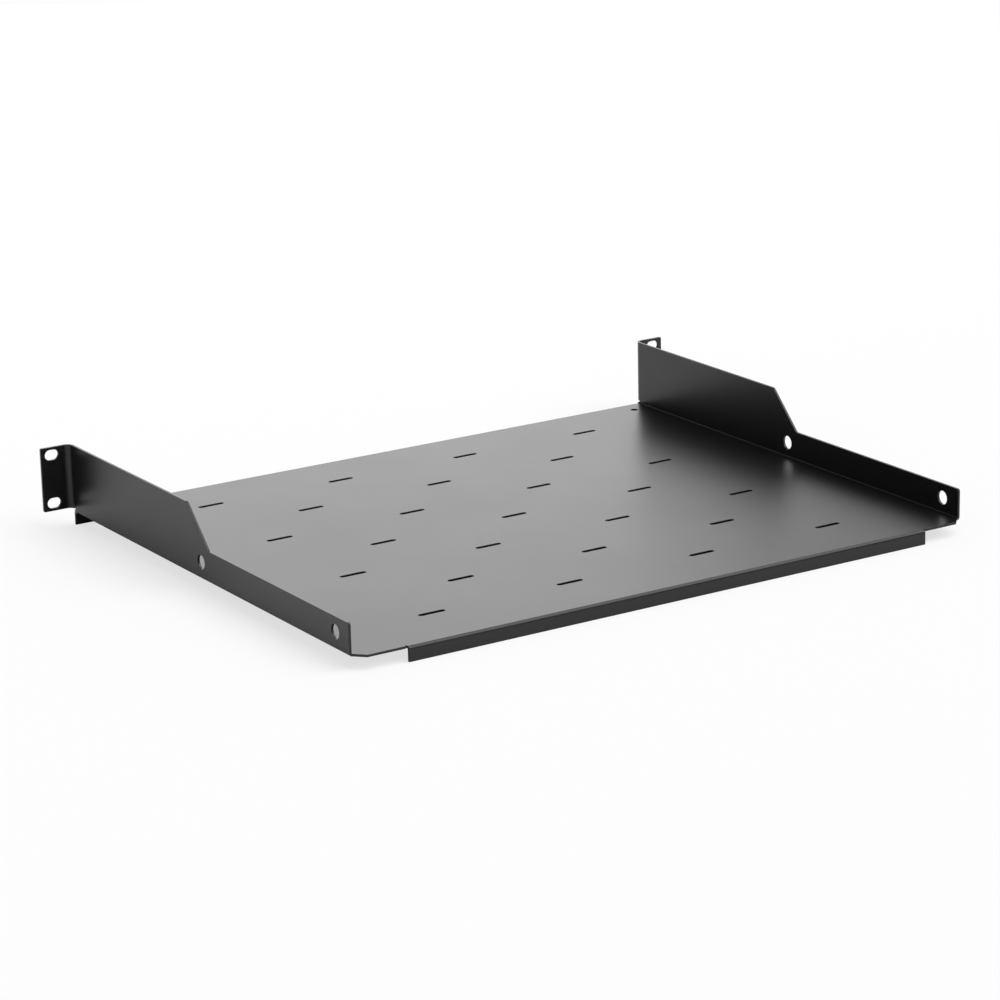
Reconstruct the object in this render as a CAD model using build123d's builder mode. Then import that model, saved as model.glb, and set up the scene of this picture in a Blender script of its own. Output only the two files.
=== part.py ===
"""A 19-inch rack shelf, laser cut and folded from one steel sheet.

Millimetres, +Z up. The ears face -Y and the equipment stands on the deck.
The origin is at the middle of the footprint, on the plane of the lips' lower edges.
"""
from build123d import *

import os
from math import radians, tan

# The rack's hole pattern, across the rails and up one unit, which the ears' slots sit on
rail_hole_spacing = 465.1
unit_hole_spacing = 31.75

# Sheet and folds
sheet = 1.5
fold_inside = 0.5
ear_fold_inside = 4.0

# Deck, and the lips folded down from its front and rear edges
deck_depth = 356.5
lip_height = 9.25
rear_lip_from_side = 34.0
rear_corner_cut = 6.0

# Side walls folded up, as high as the ears in front and low behind a slope
rear_wall_height = 18.5
front_wall_length = 157.25
wall_slope = 45.0
wall_to_rear_lip = 8.25
slope_corner_radius = 4.0
wall_end_radius = 1.5

# Ears folded out from the front ends of the walls, each with two level slots
ear_slot_length = 9.5
ear_slot_width = 6.8
ear_slot_from_end = 7.5
ear_slot_from_edge = 5.125
ear_reach = 20.05
ear_above_deck = 1.6
ear_ahead_of_lip = 3.75
ear_corner_radius = 1.0

# Staggered ventilation slots, full rows with shorter ones between them
deck_slot_length = 18.0
deck_slot_width = 3.6
slot_column_pitch = 96.0
slot_row_pitch = 45.0
slot_rows_from_front = 42.5
full_row_slots = 4
full_rows = 4

# Two holes in the low line of each side wall
wall_hole_diameter = 9.0
wall_hole_spacing = 160.0
wall_hole_above_deck = 9.5
wall_hole_from_end = 15.25

# One small hole in each front corner of the deck
corner_hole_diameter = 5.0
corner_hole_from_side = 15.0
corner_hole_from_front = 14.5

# Cuts that let the folds meet without tearing
relief_width = 1.0
corner_relief_diameter = 2.5

# Heights, from the lips' lower edges up
fold_outside = fold_inside + sheet
deck_top = lip_height
deck_underside = deck_top - sheet
foot_top = deck_underside + fold_outside
rear_wall_top = deck_top + rear_wall_height
ear_height = unit_hole_spacing + 2 * ear_slot_from_edge
ear_bottom = deck_top + ear_above_deck
ear_middle = ear_bottom + ear_height / 2
front_wall_top = ear_bottom + ear_height

# Widths, from the middle out
half_span = rail_hole_spacing / 2 + ear_slot_from_end
half_width = half_span - ear_reach
half_deck = half_width - fold_outside
rear_lip_length = 2 * (half_width - rear_lip_from_side)
corner_hole_spacing = 2 * (half_width - corner_hole_from_side)

# Depths, with the ears' face and the rear lip's face the same way from the origin
overall_depth = ear_ahead_of_lip + deck_depth
ear_face = -overall_depth / 2
ear_fold_outside = ear_fold_inside + sheet
wall_front = ear_face + ear_fold_outside
front_lip_face = ear_face + ear_ahead_of_lip
front_lip_fold = front_lip_face + fold_outside
rear_lip_face = front_lip_face + deck_depth
rear_lip_fold = rear_lip_face - fold_outside
wall_rear = rear_lip_face - wall_to_rear_lip
slope_top = front_lip_face + front_wall_length
slope_foot = slope_top + (front_wall_top - rear_wall_top) / tan(radians(wall_slope))
slot_rows_middle = front_lip_face + slot_rows_from_front + (full_rows - 1) * slot_row_pitch
wall_holes_middle = wall_rear - wall_hole_from_end - wall_hole_spacing / 2


def fold_deck_and_walls():
    """The deck and both walls are one U section, cut to the walls' outline from the side."""
    with BuildSketch(Plane.XZ.offset(-front_lip_face)) as section:
        with BuildLine():
            FilletPolyline(
                (-half_width, front_wall_top),
                (-half_width, deck_underside),
                (half_width, deck_underside),
                (half_width, front_wall_top),
                radius=fold_outside,
            )
            offset(amount=sheet, side=Side.LEFT)
        make_face()
    extrude(section.sketch, amount=front_lip_face - wall_rear)

    with BuildSketch(Plane.YZ) as outline:
        with BuildLine():
            Polyline(
                (front_lip_face, deck_underside),
                (wall_rear, deck_underside),
                (wall_rear, rear_wall_top),
                (slope_foot, rear_wall_top),
                (slope_top, front_wall_top),
                (wall_front, front_wall_top),
                (wall_front, foot_top),
                (front_lip_face, foot_top),
                close=True,
            )
        make_face()
        rear_corner = outline.vertices().group_by(Axis.X)[-1].sort_by(Axis.Y)[-1]
        fillet(rear_corner, wall_end_radius)
        slope_corner = outline.vertices().group_by(Axis.Y)[-1].sort_by(Axis.X)[-1]
        fillet(slope_corner, slope_corner_radius)
    extrude(outline.sketch, amount=half_width, both=True, mode=Mode.INTERSECT)


def extend_deck_behind_walls():
    """Behind the walls the deck runs on to the rear lip's fold, with its corners cut off."""
    with BuildSketch(Plane.XY.offset(deck_underside)) as tail:
        with BuildLine():
            Polyline(
                (-half_deck, wall_rear),
                (half_deck, wall_rear),
                (half_deck - rear_corner_cut, rear_lip_fold),
                (rear_corner_cut - half_deck, rear_lip_fold),
                close=True,
            )
        make_face()
    extrude(tail.sketch, amount=sheet)


def fold_lip(face, fold, side, length):
    """A lip runs from the deck at its fold over a round edge and down; side is the fold's inside."""
    with BuildSketch(Plane.YZ) as section:
        with BuildLine():
            FilletPolyline(
                (2 * fold - face, deck_top),
                (face, deck_top),
                (face, 0),
                radius=fold_outside,
            )
            offset(amount=sheet, side=side)
        make_face()
    extrude(section.sketch, amount=length / 2, both=True)


def round_deck_front():
    """Between the walls' feet the deck's front edge follows the lip's fold."""
    with BuildSketch(Plane.YZ) as spandrel:
        with BuildLine():
            nose = CenterArc((front_lip_fold, deck_top - fold_outside), fold_outside, 90, 90)
            Polyline(nose @ 1, (front_lip_face, deck_top), nose @ 0)
        make_face()
    extrude(spandrel.sketch, amount=half_deck, both=True, mode=Mode.SUBTRACT)


def fold_ears():
    """Each ear leaves its wall's front end in a bend and turns outwards."""
    with BuildSketch(Plane.XY.offset(ear_bottom)) as sections:
        with BuildLine():
            FilletPolyline(
                (half_width - sheet, wall_front + sheet),
                (half_width - sheet, ear_face),
                (half_span, ear_face),
                radius=ear_fold_outside,
            )
            offset(amount=sheet, side=Side.LEFT)
        make_face()
        mirror(about=Plane.YZ)
    extrude(sections.sketch, amount=ear_height)


def round_ear_corners(part):
    """The outer corners of both ears are eased."""
    ends = part.faces().filter_by(Axis.X).group_by(Axis.X)
    corners = (ends[0] + ends[-1]).edges().filter_by(Axis.Y)
    fillet(corners, ear_corner_radius)


def cut_ear_slots():
    """Level slots, one pair in each ear, on the rack's hole spacing."""
    with BuildSketch(Plane.XZ.offset(-ear_face)) as slots:
        with Locations((0, ear_middle)):
            with GridLocations(rail_hole_spacing, unit_hole_spacing, 2, 2):
                SlotOverall(ear_slot_length, ear_slot_width)
    extrude(slots.sketch, amount=-sheet, mode=Mode.SUBTRACT)


def cut_deck_slots():
    """Full rows, and between each two of them a row that is one slot shorter."""
    with BuildSketch(Plane.XY.offset(deck_underside)) as slots:
        with Locations((0, slot_rows_middle)):
            with GridLocations(slot_column_pitch, 2 * slot_row_pitch, full_row_slots, full_rows):
                SlotOverall(deck_slot_length, deck_slot_width)
            with GridLocations(
                slot_column_pitch, 2 * slot_row_pitch, full_row_slots - 1, full_rows - 1
            ):
                SlotOverall(deck_slot_length, deck_slot_width)
    extrude(slots.sketch, amount=sheet, mode=Mode.SUBTRACT)


def cut_wall_holes():
    """The same two holes go through both walls."""
    with BuildSketch(Plane.YZ) as holes:
        with Locations((wall_holes_middle, deck_top + wall_hole_above_deck)):
            with GridLocations(wall_hole_spacing, 0, 2, 1):
                Circle(wall_hole_diameter / 2)
    extrude(holes.sketch, amount=half_width, both=True, mode=Mode.SUBTRACT)


def cut_corner_holes():
    """A small hole in each front corner of the deck."""
    with BuildSketch(Plane.XY.offset(deck_underside)) as holes:
        with Locations((0, front_lip_face + corner_hole_from_front)):
            with GridLocations(corner_hole_spacing, 0, 2, 1):
                Circle(corner_hole_diameter / 2)
    extrude(holes.sketch, amount=sheet, mode=Mode.SUBTRACT)


def cut_reliefs():
    """Round reliefs where the front lip meets the walls' feet, square ones beside the rear lip."""
    with BuildSketch(Plane.XY.offset(deck_underside - fold_inside)) as round_reliefs:
        with Locations((0, front_lip_fold)):
            with GridLocations(2 * half_deck, 0, 2, 1):
                Circle(corner_relief_diameter / 2)
    extrude(round_reliefs.sketch, amount=sheet + 2 * fold_inside, mode=Mode.SUBTRACT)

    with BuildSketch(Plane.XY.offset(deck_underside)) as square_reliefs:
        with Locations((0, rear_lip_fold - relief_width / 2)):
            with GridLocations(rear_lip_length + relief_width, 0, 2, 1):
                Rectangle(relief_width, relief_width)
    extrude(square_reliefs.sketch, amount=sheet, mode=Mode.SUBTRACT)


with BuildPart() as rack_shelf:
    fold_deck_and_walls()
    extend_deck_behind_walls()
    fold_lip(front_lip_face, front_lip_fold, Side.LEFT, 2 * half_width)
    round_deck_front()
    fold_lip(rear_lip_face, rear_lip_fold, Side.RIGHT, rear_lip_length)
    fold_ears()
    round_ear_corners(rack_shelf)
    cut_ear_slots()
    cut_deck_slots()
    cut_wall_holes()
    cut_corner_holes()
    cut_reliefs()

rack_shelf.part.label = "rack_shelf"

os.makedirs("parts", exist_ok=True)
export_step(rack_shelf.part, "parts/rack_shelf.step")
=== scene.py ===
import math

import bpy
from mathutils import Matrix, Vector

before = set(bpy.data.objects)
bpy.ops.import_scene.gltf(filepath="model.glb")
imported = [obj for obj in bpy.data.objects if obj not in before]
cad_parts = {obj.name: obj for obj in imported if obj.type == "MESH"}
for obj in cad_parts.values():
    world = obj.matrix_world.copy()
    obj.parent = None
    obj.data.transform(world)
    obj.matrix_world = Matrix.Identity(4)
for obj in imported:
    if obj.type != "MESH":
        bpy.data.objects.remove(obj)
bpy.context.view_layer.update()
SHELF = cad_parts["rack_shelf"]

# Camera, fitted to the photograph: the direction from the object to it, its place and its lens
CAMERA_AZIMUTH = 147.732
CAMERA_ELEVATION = 16.581
CAMERA_ROLL = -1.315
CAMERA_PLACE = (1.13732, 1.78602, 0.64957)
CAMERA_LENS = 126.311
CAMERA_SENSOR = 36.0
CAMERA_CLIP = (0.05, 100.0)

# Powder coat: its colour wanders between two blacks, and along worn edges it is paler
COAT_DARK = (0.0018, 0.0018, 0.0018, 1.0)
COAT_LIGHT = (0.0034, 0.0034, 0.0034, 1.0)
COAT_WORN = (0.012, 0.012, 0.012, 1.0)
COAT_IOR = 1.5
COAT_ROUGHNESS = (0.34, 0.36)
PEEL_STRENGTH = 0.25
PEEL_HEIGHT = 0.00003
SOFT_EDGE_RADIUS = 0.0004
BEVEL_SAMPLES = 6

# The coat's noises: scale, detail and roughness of each
MOTTLE_NOISE = (35.0, 4.0, 0.5)
SPECKLE_NOISE = (1400.0, 2.0, 0.6)
WEAR_NOISE = (90.0, 4.0, 0.65)
CLOUD_NOISE = (12.0, 5.0, 0.6)
PEEL_NOISE = (750.0, 2.0, 0.45)

# The stretch of each noise's values over which its effect goes from least to most
BODY_RANGE = (0.35, 0.65)
WEAR_RANGE = (0.42, 0.62)
CLOUD_RANGE = (0.3, 0.7)

# Wear along edges: where the rounded normal leaves the plain one, and what it does
WEAR_EDGE_WIDTH = 0.0006
WEAR_NORMALS_ALIKE = (0.99, 0.80)
WEAR_AMOUNT = (0.15, 1.0)
WEAR_SMOOTHING = -0.05

# Floor
FLOOR_SIZE = 40.0
FLOOR_WHITE = (0.86, 0.86, 0.86, 1.0)
FLOOR_LIFT = 0.7

# World: even light for matt surfaces, and for gloss a dim studio with one bright side
WORLD_EVEN = 0.38
GLOSS_DARK_SIDE = 0.17
GLOSS_BRIGHT_SIDE = 1.2
GLOSS_BRIGHT_SPREAD = (0.6, 0.95)

# Key lamp, high up behind the object and to its left: its strength, side and width in degrees
KEY_STRENGTH = 2.6
KEY_SIDE = (-0.4, 0.35, 0.85)
KEY_WIDTH = 64.0

# Softbox that stands beyond the object as the camera sees it, and where its right edge is
SOFTBOX_RADIANCE = 1.2
SOFTBOX_DISTANCE = 2.2
SOFTBOX_SIZE = (2.1, 1.3)
SOFTBOX_RIGHT_EDGE = 0.28


def link(tree, source, target):
    tree.links.new(source, target)


def math_node(tree, operation, *values, clamp=False):
    """A Math node; each value is a socket or a number."""
    node = tree.nodes.new("ShaderNodeMath")
    node.operation = operation
    node.use_clamp = clamp
    for socket, value in zip(node.inputs, values):
        if isinstance(value, (int, float)):
            socket.default_value = value
        else:
            link(tree, value, socket)
    return node.outputs[0]


def noise(tree, place, settings):
    node = tree.nodes.new("ShaderNodeTexNoise")
    for name, value in zip(("Scale", "Detail", "Roughness"), settings):
        node.inputs[name].default_value = value
    link(tree, place, node.inputs["Vector"])
    return node.outputs["Fac"]


def map_range(tree, value, from_range, to_range):
    """Values in the first range are carried over to the second and held at its ends."""
    node = tree.nodes.new("ShaderNodeMapRange")
    link(tree, value, node.inputs["Value"])
    names = ("From Min", "From Max", "To Min", "To Max")
    for name, number in zip(names, (*from_range, *to_range)):
        node.inputs[name].default_value = number
    return node.outputs["Result"]


def mix_colour(tree, factor, first, second):
    """A colour mix; each colour is a socket or four numbers."""
    node = tree.nodes.new("ShaderNodeMix")
    node.data_type = "RGBA"
    link(tree, factor, node.inputs["Factor"])
    for socket, value in ((node.inputs["A"], first), (node.inputs["B"], second)):
        if isinstance(value, tuple):
            socket.default_value = value
        else:
            link(tree, value, socket)
    return node.outputs["Result"]


def bevel_normal(tree, radius):
    """The surface's normal with its edges rounded over the radius."""
    node = tree.nodes.new("ShaderNodeBevel")
    node.samples = BEVEL_SAMPLES
    node.inputs["Radius"].default_value = radius
    return node.outputs["Normal"]


def dot_product(tree, first, second):
    """The dot product of a vector socket with another, or with three numbers."""
    node = tree.nodes.new("ShaderNodeVectorMath")
    node.operation = "DOT_PRODUCT"
    link(tree, first, node.inputs[0])
    if isinstance(second, Vector):
        node.inputs[1].default_value = second
    else:
        link(tree, second, node.inputs[1])
    return node.outputs["Value"]


def edge_mask(tree):
    """1 along the sheet's edges and 0 on its faces."""
    plain = tree.nodes.new("ShaderNodeNewGeometry").outputs["Normal"]
    alike = dot_product(tree, bevel_normal(tree, WEAR_EDGE_WIDTH), plain)
    return map_range(tree, alike, WEAR_NORMALS_ALIKE, (0.0, 1.0))


def orange_peel(tree, place):
    """Softly rounded edges with the fine ripple of a sprayed powder over them."""
    bump = tree.nodes.new("ShaderNodeBump")
    bump.inputs["Strength"].default_value = PEEL_STRENGTH
    bump.inputs["Distance"].default_value = PEEL_HEIGHT
    link(tree, noise(tree, place, PEEL_NOISE), bump.inputs["Height"])
    link(tree, bevel_normal(tree, SOFT_EDGE_RADIUS), bump.inputs["Normal"])
    return bump.outputs["Normal"]


def powder_coat():
    """Satin black powder coat: fine orange peel, faint mottling, paler and smoother along edges."""
    material = bpy.data.materials.new("satin_black_powder_coat")
    material.use_nodes = True
    tree = material.node_tree
    shader = tree.nodes["Principled BSDF"]
    place = tree.nodes.new("ShaderNodeTexCoord").outputs["Object"]

    mottle = math_node(tree, "MULTIPLY", noise(tree, place, MOTTLE_NOISE), 0.5)
    mixed = math_node(tree, "MULTIPLY_ADD", noise(tree, place, SPECKLE_NOISE), 0.5, mottle)
    body = mix_colour(tree, map_range(tree, mixed, BODY_RANGE, (0.0, 1.0)), COAT_DARK, COAT_LIGHT)

    patchy = map_range(tree, noise(tree, place, WEAR_NOISE), WEAR_RANGE, WEAR_AMOUNT)
    wear = math_node(tree, "MULTIPLY", edge_mask(tree), patchy, clamp=True)
    link(tree, mix_colour(tree, wear, body, COAT_WORN), shader.inputs["Base Color"])

    cloudy = map_range(tree, noise(tree, place, CLOUD_NOISE), CLOUD_RANGE, COAT_ROUGHNESS)
    rough = math_node(tree, "MULTIPLY_ADD", wear, WEAR_SMOOTHING, cloudy)
    link(tree, rough, shader.inputs["Roughness"])
    shader.inputs["IOR"].default_value = COAT_IOR
    shader.inputs["Metallic"].default_value = 0.0
    link(tree, orange_peel(tree, place), shader.inputs["Normal"])
    return material


def floor_material():
    """White studio paper, lifted towards plain white where the camera sees it."""
    material = bpy.data.materials.new("studio_paper")
    material.use_nodes = True
    tree = material.node_tree
    shader = tree.nodes["Principled BSDF"]
    shader.inputs["Base Color"].default_value = FLOOR_WHITE
    shader.inputs["Roughness"].default_value = 1.0
    shader.inputs["Specular IOR Level"].default_value = 0.0
    glow = tree.nodes.new("ShaderNodeEmission")
    seen = tree.nodes.new("ShaderNodeLightPath").outputs["Is Camera Ray"]
    mixed = tree.nodes.new("ShaderNodeMixShader")
    link(tree, math_node(tree, "MULTIPLY", seen, FLOOR_LIFT), mixed.inputs[0])
    link(tree, shader.outputs[0], mixed.inputs[1])
    link(tree, glow.outputs[0], mixed.inputs[2])
    link(tree, mixed.outputs[0], tree.nodes["Material Output"].inputs["Surface"])
    return material


def add_floor():
    bpy.ops.mesh.primitive_plane_add(size=FLOOR_SIZE, location=(0.0, 0.0, 0.0))
    floor = bpy.context.object
    floor.name = "studio_floor"
    floor.data.materials.append(floor_material())


def lobe(tree, direction, axis, spread, strength):
    """Rises from 0 to the strength as the direction turns towards the axis."""
    facing = dot_product(tree, direction, axis)
    return map_range(tree, facing, spread, (0.0, strength))


def set_world(bright_side):
    """White to the camera, even light for matt surfaces, and in gloss bright on one side only."""
    world = bpy.data.worlds.new("studio")
    world.use_nodes = True
    tree = world.node_tree
    background = tree.nodes["Background"]
    background.inputs["Color"].default_value = (1.0, 1.0, 1.0, 1.0)
    direction = tree.nodes.new("ShaderNodeTexCoord").outputs["Generated"]
    side_strength = GLOSS_BRIGHT_SIDE - GLOSS_DARK_SIDE
    side = lobe(tree, direction, bright_side, GLOSS_BRIGHT_SPREAD, side_strength)
    in_gloss = math_node(tree, "ADD", side, GLOSS_DARK_SIDE)
    ray = tree.nodes.new("ShaderNodeLightPath")
    unseen = tree.nodes.new("ShaderNodeMix")
    unseen.inputs["A"].default_value = WORLD_EVEN
    link(tree, ray.outputs["Is Glossy Ray"], unseen.inputs["Factor"])
    link(tree, in_gloss, unseen.inputs["B"])
    strength = math_node(tree, "MAXIMUM", unseen.outputs["Result"], ray.outputs["Is Camera Ray"])
    link(tree, strength, background.inputs["Strength"])
    bpy.context.scene.world = world


def camera_axes():
    """The camera's right, up and backward directions."""
    azimuth = math.radians(CAMERA_AZIMUTH)
    elevation = math.radians(CAMERA_ELEVATION)
    roll = math.radians(CAMERA_ROLL)
    level = math.cos(elevation)
    back = Vector((math.sin(azimuth) * level, -math.cos(azimuth) * level, math.sin(elevation)))
    right = (-back).cross(Vector((0.0, 0.0, 1.0))).normalized()
    up = right.cross(-back)
    turned_right = math.cos(roll) * right + math.sin(roll) * up
    turned_up = math.cos(roll) * up - math.sin(roll) * right
    return turned_right, turned_up, back


def add_camera():
    data = bpy.data.cameras.new("photo_camera")
    data.sensor_width = CAMERA_SENSOR
    data.lens = CAMERA_LENS
    data.clip_start, data.clip_end = CAMERA_CLIP
    camera = bpy.data.objects.new("photo_camera", data)
    bpy.context.scene.collection.objects.link(camera)
    turn = Matrix(camera_axes()).transposed().to_4x4()
    camera.matrix_world = Matrix.Translation(Vector(CAMERA_PLACE)) @ turn
    bpy.context.scene.camera = camera


def add_softbox(place, target):
    """A soft rectangular lamp that stands at the place and faces the target."""
    data = bpy.data.lights.new("back_softbox", "AREA")
    data.shape = "RECTANGLE"
    data.size, data.size_y = SOFTBOX_SIZE
    data.energy = SOFTBOX_RADIANCE * math.pi * data.size * data.size_y
    lamp = bpy.data.objects.new("back_softbox", data)
    bpy.context.scene.collection.objects.link(lamp)
    turn = (target - place).to_track_quat("-Z", "Y").to_matrix().to_4x4()
    lamp.matrix_world = Matrix.Translation(place) @ turn


def add_key():
    """Soft, wide light from one side of the sky, the same all over the floor."""
    data = bpy.data.lights.new("key", "SUN")
    data.energy = KEY_STRENGTH
    data.angle = math.radians(KEY_WIDTH)
    lamp = bpy.data.objects.new("key", data)
    bpy.context.scene.collection.objects.link(lamp)
    lamp.matrix_world = Vector(KEY_SIDE).to_track_quat("Z", "Y").to_matrix().to_4x4()


def light_from_beyond():
    """The world's bright side and the softbox lie where the deck mirrors the camera's view."""
    _, _, toward_camera = camera_axes()
    beyond = Vector((-toward_camera.x, -toward_camera.y, toward_camera.z))
    set_world(beyond)
    across = beyond.cross(Vector((0.0, 0.0, 1.0))).normalized()
    aside = across * (SOFTBOX_RIGHT_EDGE - SOFTBOX_SIZE[0] / 2)
    add_softbox(beyond * SOFTBOX_DISTANCE + aside, aside)


SHELF.material_slots[0].material = powder_coat()
add_floor()
add_camera()
light_from_beyond()
add_key()

bpy.context.scene.view_settings.view_transform = "Standard"
